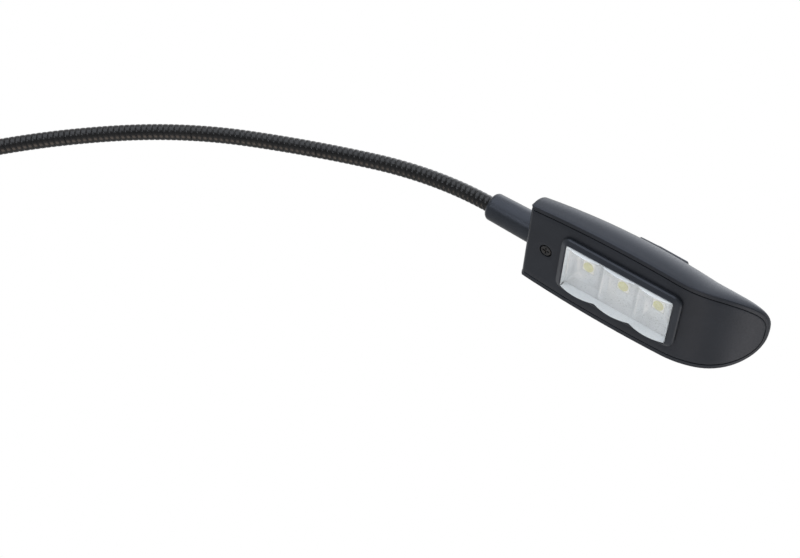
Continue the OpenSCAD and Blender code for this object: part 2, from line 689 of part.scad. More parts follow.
// Lead from the collar's spigot, round the screw boss, onto the board
round_boss = boss_d / 2 + lead_d;
on_board = board_z + board_t + lead_d / 2 + fit;
head_route = [
  [cover_wall + 2 * fit, 0, collar_z],
  [cover_wall + collar_nut_h + lead_d / 3, 0, collar_z],
  [screw_x - boss_d / 2 - lead_d / 4, 1.2 * lead_d, collar_z + fit],
  [screw_x - lead_d, round_boss, collar_z + 4 * fit],
  [screw_x + lead_d, round_boss + 1, on_board + fit],
  [screw_x + boss_d, round_boss + 1.5, on_board + 3 * fit],
  [screw_x + 2 * boss_d, round_boss + 1.5, on_board]
];
module head_lead() color("#4a4a4d") in_head() loft([
  for (i = [0:len(head_route) - 1]) let (t = run(head_route, i))
    ring(head_route[i], t, square_to(t, [0, 0, 1]), lead_d / 2, ring_sides)
]);

clip_housing();
battery_door();
battery_cells();
contact_leaves();
contact_plates();
clip_lever();
hinge_pin();
torsion_spring();
fixed_jaw_pad();
lever_jaw_pad();
root_ferrule();
root_nut();
for (j = [1:lengths]) {
  gooseneck(j);
  lead(j);
}
head_collar();
collar_nut();
head_cover();
base_plate();
bezel();
lens();
reflector();
led_board();
leds();
led_phosphors();
driver_parts();
tact_switch();
switch_plunger();
switch_button();
plate_screw();
head_lead();
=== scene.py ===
# %% [markdown]
# # Dressing a clip-on music stand light
#
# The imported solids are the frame: they hold every size, body and joint. This lesson puts the looks
# on them. The gooseneck is wound as a real spiral, the lamp head gets smooth moulded shells, the
# clip gets soft edges, and every piece gets the finish of the material it is made of.

# %% Frame
import json
from math import cos, floor, pi, radians, sin, sqrt

import bmesh
import bpy
from mathutils import Euler, Matrix, Vector


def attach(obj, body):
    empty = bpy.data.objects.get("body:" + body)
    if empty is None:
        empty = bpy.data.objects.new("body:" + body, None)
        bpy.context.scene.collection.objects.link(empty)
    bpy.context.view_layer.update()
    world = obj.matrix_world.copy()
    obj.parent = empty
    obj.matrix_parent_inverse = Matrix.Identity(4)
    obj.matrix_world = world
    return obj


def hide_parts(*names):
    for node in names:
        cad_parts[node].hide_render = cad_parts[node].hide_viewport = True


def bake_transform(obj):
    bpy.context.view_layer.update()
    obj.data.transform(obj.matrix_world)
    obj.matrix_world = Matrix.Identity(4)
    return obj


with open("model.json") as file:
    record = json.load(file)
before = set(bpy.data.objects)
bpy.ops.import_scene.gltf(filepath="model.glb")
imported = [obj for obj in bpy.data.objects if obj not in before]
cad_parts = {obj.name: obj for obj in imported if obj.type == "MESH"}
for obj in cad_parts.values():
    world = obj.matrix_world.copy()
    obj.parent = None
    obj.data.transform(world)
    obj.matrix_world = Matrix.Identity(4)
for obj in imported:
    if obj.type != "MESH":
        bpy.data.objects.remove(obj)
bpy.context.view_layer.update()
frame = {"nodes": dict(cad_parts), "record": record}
MM = 0.001
print("nodes in the frame:", len(frame["nodes"]))

# %% [markdown]
# ## Camera
#
# The photo looks level at the lamp head, which turns its underside to the viewer. A short lens
# would make the near end of the head swell, so the camera stands 700 mm off with a portrait lens.

# %% Camera
CAMERA_PLACE = (0.23117, -0.72824, 0.11417)
CAMERA_LENS = 85.68

camera = bpy.data.objects.new("camera", bpy.data.cameras.new("camera"))
camera.data.lens = CAMERA_LENS
camera.location = CAMERA_PLACE
camera.rotation_euler = (pi / 2, 0, 0)
bpy.context.scene.collection.objects.link(camera)
bpy.context.scene.camera = camera
bpy.context.scene.view_settings.view_transform = "Standard"
print("camera at", CAMERA_PLACE)

# %% [markdown]
# ## Nodes and colours
#
# Two small helpers serve every material. One turns the sRGB hex value that a colour picker shows
# into the linear numbers that a shader wants. The other adds a node, sets it and links it.


# %% Helpers for materials
def linear(code):
    """Linear colour of an sRGB hex value."""
    parts = [int(code[i:i + 2], 16) / 255 for i in (1, 3, 5)]
    return (*[c / 12.92 if c <= 0.04045 else ((c + 0.055) / 1.055) ** 2.4 for c in parts], 1.0)


def add(tree, kind, inputs, **settings):
    """Add one node, set it up, and fill or link its inputs."""
    node = tree.nodes.new(kind)
    for name, value in settings.items():
        setattr(node, name, value)
    for name, value in inputs.items():
        if isinstance(value, bpy.types.NodeSocket):
            tree.links.new(value, node.inputs[name])
        else:
            node.inputs[name].default_value = value
    return node


def per_mm(size):
    """Noise scale that gives features of a size in millimetres."""
    return 1 / (size * MM)


print("mid grey is", round(linear("#808080")[0], 3))

# %% [markdown]
# ## Studio
#
# The photo has a plain white background in a dim room. The world is white to the camera. To
# reflections it is white behind the lamp and dim on the viewer's side, and to everything else it is
# a soft fill, so black plastic stays black and only its edges catch the backdrop. The floor lies
# below the lowest pose of the head and keeps a shadow.

# %% World and floor
FILL = 0.85
DIM_ROOM = 0.2
ROOM_ENDS, BACKDROP_STARTS = -0.25, 0.9
TABLE_GLOW = 0.33
GLOW_SHARE = 0.85
FLOOR_MIDDLE = (0.15, 0, -0.25)
FLOOR_RADIUS = 1.3
FLOOR_STEPS = 64


def larger(tree, first, second):
    return add(tree, "ShaderNodeMath", {0: first, 1: second}, operation="MAXIMUM").outputs[0]


world = bpy.data.worlds.new("white studio")
bpy.context.scene.world = world
world.use_nodes = True
world.node_tree.nodes.clear()
tree = world.node_tree
rays = tree.nodes.new("ShaderNodeLightPath").outputs
direction = tree.nodes.new("ShaderNodeTexCoord").outputs["Generated"]
toward = add(tree, "ShaderNodeSeparateXYZ", {0: direction})
behind = add(tree, "ShaderNodeMapRange", {
    "Value": toward.outputs["Y"], "From Min": ROOM_ENDS, "From Max": BACKDROP_STARTS,
    "To Min": DIM_ROOM, "To Max": 1.0})
reflected = larger(tree, rays["Is Glossy Ray"], rays["Is Transmission Ray"])
mirrored = add(tree, "ShaderNodeMapRange", {
    "Value": reflected, "To Min": FILL, "To Max": behind.outputs["Result"]})
strength = add(tree, "ShaderNodeMapRange", {
    "Value": rays["Is Camera Ray"], "To Min": mirrored.outputs["Result"]})
sky = add(tree, "ShaderNodeBackground", {
    "Color": linear("#ffffff"), "Strength": strength.outputs["Result"]})
add(tree, "ShaderNodeOutputWorld", {"Surface": sky.outputs[0]})

floor_paper = bpy.data.materials.new("white backdrop paper")
floor_paper.use_nodes = True
tree = floor_paper.node_tree
tree.nodes.clear()
paper = add(tree, "ShaderNodeBsdfDiffuse", {"Color": linear("#f4f3f0")})
rays = tree.nodes.new("ShaderNodeLightPath").outputs
level = add(tree, "ShaderNodeMapRange", {"Value": rays["Is Camera Ray"], "To Min": TABLE_GLOW})
glow = add(tree, "ShaderNodeEmission", {
    "Color": linear("#ffffff"), "Strength": level.outputs["Result"]})
seen = larger(tree, rays["Is Camera Ray"], rays["Is Glossy Ray"])
direct = larger(tree, seen, rays["Is Transmission Ray"])
share = add(tree, "ShaderNodeMath", {0: direct, 1: GLOW_SHARE}, operation="MULTIPLY")
both = add(tree, "ShaderNodeMixShader", {
    0: share.outputs[0], 1: paper.outputs[0], 2: glow.outputs[0]})
add(tree, "ShaderNodeOutputMaterial", {"Surface": both.outputs[0]})

bm = bmesh.new()
bmesh.ops.create_circle(bm, cap_ends=True, segments=FLOOR_STEPS, radius=FLOOR_RADIUS)
bmesh.ops.translate(bm, verts=bm.verts, vec=FLOOR_MIDDLE)
floor_mesh = bpy.data.meshes.new("floor")
bm.to_mesh(floor_mesh)
bm.free()
floor_mesh.materials.append(floor_paper)
studio_floor = bpy.data.objects.new("floor", floor_mesh)
bpy.context.scene.collection.objects.link(studio_floor)
print("floor at", FLOOR_MIDDLE[2], "m")

# %% [markdown]
# Three broad lamps: a key above the viewer, one behind the lamp head that lights its cover, and a
# softer one from the right. Two small ones draw reflections: one to the left of the viewer gives
# the streak along the collar, and one overhead lifts the cover's side. Two weak ones below stand
# for the light that comes back from a table. Each row gives place, aim and size in metres, power
# in watts, spread in degrees and colour.

# %% Lamps
LAMPS = {
    "key": ((0.05, -0.5, 0.9), (0.2, 0, 0.13), 0.9, 3.8, 180, "#f2f7ff"),
    "top": ((0.7, 0.3, 0.6), (0.34, 0, 0.12), 0.8, 2.4, 180, "#f2f7ff"),
    "side": ((0.85, -0.3, 0.45), (0.25, 0, 0.12), 0.6, 1.0, 180, "#f2f7ff"),
    "window": ((-0.39, -0.715, 0.356), (0.3, -0.03, 0.13), 0.3, 0.8, 180, "#f2f7ff"),
    "overhead": ((0.36, -0.02, 1.0), (0.3, -0.03, 0.13), 0.35, 0.45, 180, "#f2f7ff"),
    "neck bounce": ((0.05, -0.13, -0.2), (0.08, -0.02, 0.14), 0.34, 0.11, 70, "#ffe9d6"),
    "tip bounce": ((0.5, -0.05, -0.2), (0.38, -0.03, 0.1), 0.22, 0.03, 70, "#fff4ea"),
}
for name, (place, aim, size, power, spread, colour) in LAMPS.items():
    lamp = bpy.data.lights.new(name, "AREA")
    lamp.size = size
    lamp.spread = radians(spread)
    lamp.energy = power
    lamp.color = linear(colour)[:3]
    holder = bpy.data.objects.new(name, lamp)
    holder.location = place
    holder.rotation_euler = (Vector(aim) - Vector(place)).to_track_quat("-Z", "Y").to_euler()
    bpy.context.scene.collection.objects.link(holder)
print("lamps:", ", ".join(LAMPS))

# %% [markdown]
# ## Finishes
#
# Most surfaces are one material whose colour, gloss and relief all vary a little. One function
# mixes two close colours over a broad cloudy pattern, spreads the roughness over a fine one and
# raises that fine grain as a bump. Sizes are in millimetres on the object. The spans are the part
# of a noise pattern's range in which most of its values lie.

# %% Helper for finishes
CLOUD_SPAN, CLOUD_DETAIL = (0.35, 0.65), 3.0
GRAIN_SPAN, GRAIN_DETAIL = (0.3, 0.7), 2.0
BUMP_STRENGTH = 0.6


def finish(name, dark, light, rough, grain, cloud=14, relief=0.02, metal=0.0, ior=1.5,
           **sockets):
    """A material with a cloudy colour, a grain of its own size and the roughness that it leaves."""
    made = bpy.data.materials.new(name)
    made.use_nodes = True
    tree = made.node_tree
    tree.nodes.clear()
    place = tree.nodes.new("ShaderNodeTexCoord").outputs["Object"]
    clouds = add(tree, "ShaderNodeTexNoise", {
        "Vector": place, "Scale": per_mm(cloud), "Detail": CLOUD_DETAIL})
    colour = add(tree, "ShaderNodeValToRGB", {"Fac": clouds.outputs["Fac"]})
    for stop, position, tone in zip(colour.color_ramp.elements, CLOUD_SPAN, (dark, light)):
        stop.position = position
        stop.color = linear(tone)
    fine = add(tree, "ShaderNodeTexNoise", {
        "Vector": place, "Scale": per_mm(grain), "Detail": GRAIN_DETAIL})
    gloss = add(tree, "ShaderNodeMapRange", {
        "Value": fine.outputs["Fac"], "From Min": GRAIN_SPAN[0], "From Max": GRAIN_SPAN[1],
        "To Min": rough[0], "To Max": rough[1]})
    bump = add(tree, "ShaderNodeBump", {
        "Height": fine.outputs["Fac"], "Distance": relief * MM, "Strength": BUMP_STRENGTH})
    shader = add(tree, "ShaderNodeBsdfPrincipled", {
        "Base Color": colour.outputs["Color"], "Roughness": gloss.outputs["Result"],
        "Metallic": metal, "Normal": bump.outputs["Normal"], "IOR": ior, **sockets})
    add(tree, "ShaderNodeOutputMaterial", {"Surface": shader.outputs[0]})
    return made


# %% [markdown]
# The shells are black ABS from a spark-eroded mould. The eye sees a dark, slightly blue grey with a
# soft wide highlight, because the fine grain scatters it. A real grain of 0.15 mm is too fine for
# this picture, so it is drawn at 0.45 mm. The button is polished, and the bezel and the collar are
# satin and a little lighter. The neck is a coiled steel strip with a semi-gloss black coating, so
# its highlights are tighter.

# %% Finishes of the shells and the neck
COOL = {"Specular Tint": linear("#e6edff")}
ABS_IOR = 1.53
black_abs = finish("moulded black ABS", "#14171b", "#181b20", (0.36, 0.48), 0.45,
                   relief=0.03, ior=ABS_IOR, **COOL)
smooth_abs = finish("polished black ABS", "#131518", "#17191d", (0.26, 0.34), 0.5,
                    relief=0.008, ior=ABS_IOR, **COOL)
satin_abs = finish("satin black ABS", "#1f2226", "#23262b", (0.3, 0.38), 0.5,
                   relief=0.01, ior=ABS_IOR, **COOL)
coated_steel = finish("black coated steel coil", "#0b0c0e", "#121213", (0.22, 0.32), 0.6,
                      cloud=8, relief=0.012, ior=1.5)
print("finishes:", black_abs.name, smooth_abs.name, satin_abs.name, coated_steel.name, sep=" | ")

# %% [markdown]
# Small parts: nitrile rubber on the jaws, bright steel wire and pins, the black oxide screw, the
# nickel-plated cells and their contacts, the white board with its LEDs, and the lead's PVC sheath.
# A metal keeps the default IOR of the shader and takes its colour from its base colour alone.

# %% Finishes of the small parts
grip_rubber = finish("nitrile rubber", "#1b1b1c", "#232324", (0.68, 0.85), 0.6,
                     relief=0.05, ior=1.52)
bright_steel = finish("bright spring steel", "#a9acb1", "#c2c4c8", (0.2, 0.34), 0.3,
                      relief=0.004, metal=1.0)
black_oxide = finish("black oxide steel", "#0f0f11", "#17171a", (0.3, 0.42), 0.3,
                     relief=0.006, ior=1.6)
cell_can = finish("nickel-plated can", "#8d9096", "#a5a7ac", (0.25, 0.38), 0.4,
                  relief=0.004, metal=1.0)
solder_mask = finish("white solder mask", "#dcdbd3", "#e8e6df", (0.35, 0.5), 0.4, relief=0.01)
led_package = finish("white LED package", "#e4e1d6", "#f0ede4", (0.3, 0.4), 0.4, relief=0.006)
phosphor = finish("yellow phosphor silicone", "#bcb650", "#cdc873", (0.35, 0.45), 0.25,
                  cloud=1.2, relief=0.01)
black_epoxy = finish("black epoxy", "#1a1a1c", "#222225", (0.45, 0.6), 0.4, relief=0.02)
pvc_sheath = finish("black PVC sheath", "#19191a", "#202021", (0.42, 0.55), 0.5, relief=0.015)
print("small finishes made")

# %% [markdown]
# The lens is clear acrylic, drawn as a thin gloss with the LEDs showing through it. Seen through
# the front, its side and end walls mirror the bright tray and look white, so that reflection is
# painted on them as an opaque white. The reflector behind it is vacuum-metallised plastic, bright
# but not a mirror.

# %% Finishes of the window
ACRYLIC_IOR = 1.49
clear_acrylic = finish("satin clear acrylic", "#e4e9ec", "#eef2f4", (0.14, 0.2), 0.7,
                       relief=0.006, ior=ACRYLIC_IOR, Alpha=0.2)
# Painted reflection: an opaque white on the lens walls stands for the bright tray that they mirror.
lens_wall_reflection_paint = finish("lens walls painted with the tray's reflection", "#dde3e8", "#e9eef1", (0.25, 0.35), 0.7,
                      relief=0.006, ior=ACRYLIC_IOR)
metallised = finish("vacuum-metallised plastic", "#d6d9dd", "#e6e8ea", (0.26, 0.36), 0.5,
                    relief=0.004, metal=0.7)
print("window finishes made")

# %% [markdown]
# ## Making a piece
#
# Each shape is worked out in a bmesh, in millimetres. The last step moves it into the shared frame,
# writes the mesh, shades it smooth up to its sharp edges and hides the solid that it stands for.
# More helpers serve many pieces: one pulls a line of vertices from row to row, as an extrusion
# does, one grows a closed line by one step, one thickens a sheet, and one rounds edges.

# %% Helpers for pieces
SAME_POINT = 0.001


def piece(bm, name, material, nodes, body=None, to_frame=Matrix.Scale(MM, 4), sharp=40):
    """Write a bmesh as an object of the frame, riding on a body when one is given."""
    bm.transform(to_frame)
    mesh = bpy.data.meshes.new(name)
    bm.to_mesh(mesh)
    bm.free()
    mesh.shade_smooth()
    mesh.set_sharp_from_angle(angle=radians(sharp))
    mesh.materials.append(material)
    made = bpy.data.objects.new(name, mesh)
    bpy.context.scene.collection.objects.link(made)
    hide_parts(*nodes)
    if body:
        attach(made, body)
    print(name, len(mesh.polygons), "faces")
    return made


def verts_of(geom):
    return [g for g in geom if isinstance(g, bmesh.types.BMVert)]


def edges_of(geom):
    return [g for g in geom if isinstance(g, bmesh.types.BMEdge)]


def pull(bm, rows):
    """Draw the first row as a line and extrude it through the others; gives the two end lines."""
    line = [bm.verts.new(p) for p in rows[0]]
    first = line
    edges = [bm.edges.new(pair) for pair in zip(line, line[1:])]
    for row in rows[1:]:
        fresh = set(verts_of(bmesh.ops.extrude_edge_only(bm, edges=edges)["geom"]))
        line = [next(e.other_vert(v) for e in v.link_edges if e.other_vert(v) in fresh)
                for v in line]
        for v, p in zip(line, row):
            v.co = p
        edges = [bm.edges.get(pair) for pair in zip(line, line[1:])]
    return first, line


def grow(bm, rim):
    """Extrude a closed line of edges; gives the new vertices, to be moved, and the new line."""
    grown = bmesh.ops.extrude_edge_only(bm, edges=rim)["geom"]
    fresh = verts_of(grown)
    return fresh, [e for e in edges_of(grown) if all(v in fresh for v in e.verts)]


def thicken(bm):
    """Extrude every face of a sheet; gives the vertices of the new side, to be moved."""
    return verts_of(bmesh.ops.extrude_face_region(bm, geom=bm.faces[:])["geom"])


def round_edges(bm, edges, radius, segments):
    bmesh.ops.bevel(bm, geom=list(edges), offset=radius, offset_type="OFFSET", affect="EDGES",
                    segments=segments, profile=0.5, material=-1, clamp_overlap=False)


def sharp_edges(bm, angle=45):
    return [e for e in bm.edges if e.is_manifold and e.calc_face_angle(0) > radians(angle)]


def weld(bm, dist=SAME_POINT):
    bmesh.ops.remove_doubles(bm, verts=bm.verts, dist=dist)


# %% [markdown]
# ## Route of the neck
#
# The neck leaves the clip straight up and then bends length by length. Each of its seven lengths
# has one bend and one sideways turn, spread evenly over its ribs. Stepping along that heading gives
# the same route as the solids have, and the frame of the lamp head at its end.

# %% Route
BENDS = (26, 27, 27, 7, 11.2, 4.5, 14.8)
TURNS = (0, 0, 0, 0, 0, -6, -20)
RIB = 2.1
RIBS_PER_LENGTH = 23
LEAD_IN = 6
RIBS = 2 * LEAD_IN + len(BENDS) * RIBS_PER_LENGTH
NECK_FOOT = Vector((-7.8, 0, 49.3))
HEAD_ROLL = -53
COLLAR_LEN = 20.2
COLLAR_Z = 7.2
SEAT = 11.1
NUDGE = 1e-6


def heading(rib):
    """Direction of the neck at a rib, and the direction to its side."""
    u = (rib - LEAD_IN) / RIBS_PER_LENGTH
    k = max(0, min(len(BENDS) - 1, floor(u)))
    part = max(0, min(1, u - k))
    rise = radians(90 - sum(BENDS[:k]) - BENDS[k] * part)
    turn = radians(sum(TURNS[:k]) + TURNS[k] * part)
    ahead = Vector((cos(rise) * cos(turn), cos(rise) * sin(turn), sin(rise)))
    return ahead, Vector((-sin(turn), cos(turn), 0))


route = [NECK_FOOT]
for step in range(2 * RIBS):
    route.append(route[-1] + heading((step + 0.5) / 2)[0] * RIB / 2)


def on_route(along):
    """Point of the neck's axis, a distance in millimetres from its foot."""
    u = max(0, min(2 * RIBS - NUDGE, along / RIB * 2))
    k = floor(u)
    return route[k].lerp(route[k + 1], u - k)


head_turn = Euler((radians(HEAD_ROLL), radians(sum(BENDS) - 90), radians(sum(TURNS)))).to_matrix()
head_place = route[-1] - head_turn @ Vector((SEAT - COLLAR_LEN, 0, COLLAR_Z))
IN_HEAD = Matrix.Translation(head_place * MM) @ head_turn.to_4x4() @ Matrix.Scale(MM, 4)
print("head at", [round(v, 2) for v in head_place])

# %% [markdown]
# ## Gooseneck
#
# A gooseneck is a coil. Modelling rings would be simpler, but the coil shows on the outline as ribs
# that lean. Here the rib's flat crown is spun about the axis while it rises by one pitch a turn,
# which is how the real strip is wound, and the straight coil is then laid along the route. It is
# made in six pieces that meet in the middle of a length, each crossing one bend joint. The lead
# inside is a plain round cord, laid on the same route in the same six pieces.

# %% Winding
NECK_R = 3.1
RIB_DEPTH, CROWN_POWER = 0.22, 3
RIB_PROFILE = (0, 0.07, 0.16, 0.3, 0.5, 0.7, 0.84, 0.93, 1)
TURN_STEPS = 28
WALL_OF_COIL = 0.7


def lay_on_route(bm, start):
    for v in bm.verts:
        along = start * RIB + v.co.z
        ahead, side = heading(along / RIB)
        v.co = on_route(along) + side * v.co.x + ahead.cross(side) * v.co.y


def coil(start, ribs):
    """Ribbed spiral from one rib to another."""
    bm = bmesh.new()
    line = [bm.verts.new((NECK_R - RIB_DEPTH * abs(2 * t - 1) ** CROWN_POWER, 0, RIB * t))
            for t in RIB_PROFILE]
    edges = [bm.edges.new(pair) for pair in zip(line, line[1:])]
    bmesh.ops.spin(bm, geom=line + edges, cent=(0, 0, 0), axis=(0, 0, 1), angle=2 * pi * ribs,
                   dvec=(0, 0, RIB / TURN_STEPS), steps=TURN_STEPS * ribs, use_merge=False)
    weld(bm)
    bmesh.ops.recalc_face_normals(bm, faces=bm.faces)
    if sum(f.normal.dot(f.calc_center_median() * Vector((1, 1, 0))) for f in bm.faces) < 0:
        bmesh.ops.reverse_faces(bm, faces=bm.faces)
    lay_on_route(bm, start)
    return bm


print("ribs on the neck:", RIBS)

# %% Neck in six pieces
BEND_JOINTS = [LEAD_IN + RIBS_PER_LENGTH * k for k in range(1, len(BENDS))]
HALF_LENGTH = (RIBS_PER_LENGTH + 1) // 2
MEETS = (0, *(joint + HALF_LENGTH for joint in BEND_JOINTS[:-1]), RIBS)


def bend_over(made):
    """Bake a piece's placement into its mesh."""
    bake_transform(made)


def lengths_of(kind, k):
    """Nodes that the k-th piece stands for: the last piece takes in the seventh length."""
    return [f"{kind}_{k + 1}"] + ([f"{kind}_{len(BENDS)}"] if k == len(BEND_JOINTS) - 1 else [])


for k in range(len(BEND_JOINTS)):
    made = piece(coil(MEETS[k], MEETS[k + 1] - MEETS[k]), f"neck_coil_{k + 1}", coated_steel,
                 lengths_of("gooseneck", k), sharp=45)
    wall = made.modifiers.new("wall", "SOLIDIFY")
    wall.thickness = WALL_OF_COIL * MM
    wall.offset = -1
    bend_over(made)

# %% Lead inside the neck
LEAD_R = 0.9
LEAD_SIDES = 12
for k in range(len(BEND_JOINTS)):
    bm = bmesh.new()
    bmesh.ops.create_circle(bm, cap_ends=True, segments=LEAD_SIDES, radius=LEAD_R)
    rim = bm.edges[:]
    for step in range(2 * (MEETS[k + 1] - MEETS[k])):
        fresh, rim = grow(bm, rim)
        bmesh.ops.translate(bm, verts=fresh, vec=(0, 0, RIB / 2))
    bmesh.ops.contextual_create(bm, geom=rim)
    bmesh.ops.recalc_face_normals(bm, faces=bm.faces)
    lay_on_route(bm, MEETS[k])
    made = piece(bm, f"lead_{k + 1}_sheath", pvc_sheath, lengths_of("lead", k))
    bend_over(made)

# %% [markdown]
# ## Form of the head
#
# The head is one form: in plan a bar with slightly bulging sides and a full round front, from the
# side a long flat arch over an underside that sweeps up to the front edge, in section a top with
# wide round shoulders. The functions below give that form at any distance from the rear wall,
# drawn in by an inset, so the cover, the plate and the button all follow the same surface.

# %% Form of the head
HEAD_LEN = 93.1
HEAD_HALF = 19.6
SIDE_R, SIDE_X = 420.0, 42.1
NOSE_X = 73.6
NOSE_POWER = 2.6
RAMP_X = 62.1
FRONT_RISE = 17.2
RAMP_R = ((HEAD_LEN - RAMP_X) ** 2 + FRONT_RISE ** 2) / (2 * FRONT_RISE)
ARCH_TOP, ARCH_R, ARCH_X = 18.8, 450.0, 71.6
SHOULDER_REAR, SHOULDER_FRONT = 10.3, 18.4
WALL, FRONT_WALL = 1.8, 0.7
LIP = 0.3
RIM_WALL, LEAST_ROUND = 1.0, 0.2
ARC_STEPS = 14
FLAT_STEPS, RAMP_STEPS, NOSE_STEPS = 10, 5, 18
NOSE_TURN = 87


def nose_end(inset):
    """Where the form ends: an inset is smaller at the front, where the wall thins out."""
    return HEAD_LEN - inset * FRONT_WALL / WALL


def half_width(x, inset):
    t = max(0, min(1, (x - NOSE_X) / (nose_end(inset) - NOSE_X)))
    side = HEAD_HALF - SIDE_R + sqrt(SIDE_R ** 2 - (x - SIDE_X) ** 2) - inset
    return side * (1 - t ** NOSE_POWER) ** (1 / NOSE_POWER)


def underside(x):
    return 0.0 if x <= RAMP_X else RAMP_R - sqrt(RAMP_R ** 2 - (x - RAMP_X) ** 2)


def arch(x):
    return ARCH_TOP - ARCH_R + sqrt(ARCH_R ** 2 - (x - ARCH_X) ** 2)


def section(x, inset):
    """Line across the head from one rim over the top to the other rim."""
    w, low = half_width(x, inset), underside(x)
    top = max(arch(x) - inset, low + LIP)
    r = SHOULDER_REAR + (SHOULDER_FRONT - SHOULDER_REAR) * x / HEAD_LEN - inset
    ry, rz = min(r, w - LIP), min(r, max(LEAST_ROUND, top - low - RIM_WALL))
    turn = [pi / 2 * k / ARC_STEPS for k in range(ARC_STEPS + 1)]
    half = [(w, low), (w, (low + top - rz) / 2)]
    half += [(w - ry + ry * cos(a), top - rz + rz * sin(a)) for a in turn]
    return [Vector((x, y, z)) for y, z in half] + [Vector((x, -y, z)) for y, z in reversed(half)]


def stations(rear, inset, turn=NOSE_TURN):
    """Distances from the rear wall at which the form is drawn.

    At the front they follow the sine of an angle, so they come closer together there. The angle
    stops a little short of the tip, which is at 90 degrees.
    """
    flat = [rear + (RAMP_X - rear) * k / FLAT_STEPS for k in range(FLAT_STEPS)]
    ramp = [RAMP_X + (NOSE_X - RAMP_X) * k / RAMP_STEPS for k in range(RAMP_STEPS)]
    return flat + ramp + [NOSE_X + (nose_end(inset) - NOSE_X) * sin(radians(turn) * k / NOSE_STEPS)
                          for k in range(NOSE_STEPS + 1)]


print("head is", round(arch(ARCH_X), 1), "mm high")

# %% [markdown]
# ## Cover
#
# The cover is a thin shell. Its outer and inner skins are pulled through the sections, closed at
# both ends and joined along the rim, which shows from below as a dark band round the plate. A low
# notch in the rear wall lets the plate run out to the back. Four cuts and a bridge make the
# opening for the button. The rear edge is rounded widely, the rest finely.

# %% Cover
BUTTON_X, BUTTON_L, BUTTON_W = 47.8, 20.0, 27.0
SLACK = 0.3
REAR_ROUND, REAR_ROUND_STEPS = 1.2, 5
REAR_BEND = 1.8
OUTER_ROUND, INNER_ROUND, HOLE_ROUND = 0.3, 0.12, 0.2
FINE_STEPS = 2
PLATE_T = 2.0
NOTCH_GAP = 0.2
NOTCH_H = PLATE_T + NOTCH_GAP
NOTCH_W = half_width(WALL, WALL)
TOP_FROM, SKIN_FROM = 8.0, 12.5
HOLE_ANGLE = 30
CUT_DIST = 1e-5
ON = 1e-4
CHORD = 0.03


def cut(bm, faces, place, facing):
    """Cut some faces along a plane."""
    geom = {g for f in faces for g in (f, *f.edges, *f.verts)}
    bmesh.ops.bisect_plane(bm, geom=list(geom), dist=CUT_DIST, plane_co=place, plane_no=facing)


def cut_square(bm, middle, half_l, half_w):
    """Cut a form through along the four sides of a rectangle."""
    for side in (-1, 1):
        cut(bm, bm.faces[:], (middle + side * half_l, 0, 0), (1, 0, 0))
        cut(bm, bm.faces[:], (0, side * half_w, 0), (0, 1, 0))


def inside_square(face, middle, half_l, half_w):
    place = face.calc_center_median()
    return abs(place.x - middle) < half_l and abs(place.y) < half_w


def rear_bend(x):
    """How far the underside turns up at a distance from its rear end."""
    return REAR_BEND - sqrt(REAR_BEND ** 2 - min(REAR_BEND, max(0, REAR_BEND - x)) ** 2)


def on_rim(edge, inset, low=underside):
    """Whether an edge lies on the lower edge of the form at an inset, or on a chord of it."""
    return all(abs(v.co.z - low(v.co.x)) < CHORD
               and abs(abs(v.co.y) - half_width(v.co.x, inset)) < CHORD for v in edge.verts)


def in_rear_wall(face):
    return all(v.co.x < WALL + ON for v in face.verts)


def in_notch(vert):
    return vert.co.z < NOTCH_H + ON and abs(vert.co.y) < NOTCH_W + ON


bm = bmesh.new()
for inset in (0.0, WALL):
    for line in pull(bm, [section(x, inset) for x in stations(inset, inset)]):
        bm.faces.new(line)
bmesh.ops.bridge_loops(bm, edges=[e for e in bm.edges if e.is_boundary])
notch_sides = (((0, -NOTCH_W, 0), (0, 1, 0)), ((0, NOTCH_W, 0), (0, 1, 0)),
               ((0, 0, NOTCH_H), (0, 0, 1)))
for place, facing in notch_sides:
    cut(bm, [f for f in bm.faces if in_rear_wall(f)], place, facing)
notch = [f for f in bm.faces if in_rear_wall(f) and all(in_notch(v) for v in f.verts)]
bmesh.ops.delete(bm, geom=notch, context="FACES")
bmesh.ops.bridge_loops(bm, edges=[e for e in bm.edges if e.is_boundary
                                  and abs(e.verts[0].co.x - e.verts[1].co.x) < ON])
bmesh.ops.recalc_face_normals(bm, faces=bm.faces)
rear = [e for e in bm.edges if all(abs(v.co.x) < ON and not in_notch(v) for v in e.verts)]
round_edges(bm, rear, REAR_ROUND, REAR_ROUND_STEPS)
round_edges(bm, [e for e in bm.edges if on_rim(e, 0)], OUTER_ROUND, FINE_STEPS)
round_edges(bm, [e for e in bm.edges if on_rim(e, WALL)], INNER_ROUND, 1)
for v in bm.verts:
    v.co.z = max(v.co.z, rear_bend(v.co.x))
hole_l, hole_w = BUTTON_L / 2 + SLACK, BUTTON_W / 2 + SLACK
cut_square(bm, BUTTON_X, hole_l, hole_w)
hole = [f for f in bm.faces if inside_square(f, BUTTON_X, hole_l, hole_w)
        and f.calc_center_median().z > TOP_FROM]
bmesh.ops.delete(bm, geom=hole, context="FACES")
mouth = bmesh.ops.bridge_loops(bm, edges=[e for e in bm.edges if e.is_boundary])["faces"]
bmesh.ops.recalc_face_normals(bm, faces=bm.faces)
brink = {e for f in mouth for e in f.edges if e.calc_face_angle(0) > radians(HOLE_ANGLE)
         and min(v.co.z for v in e.verts) > SKIN_FROM}
round_edges(bm, brink, HOLE_ROUND, FINE_STEPS)
piece(bm, "lamp_cover", black_abs, ["head_cover"], "head", IN_HEAD)

# %% [markdown]
# ## Push button
#
# The button is a patch of the same form, 1 mm outside it, with a fine gap all round.
# It is cut from a larger patch and pulled down into the cover, then its edges are broken.

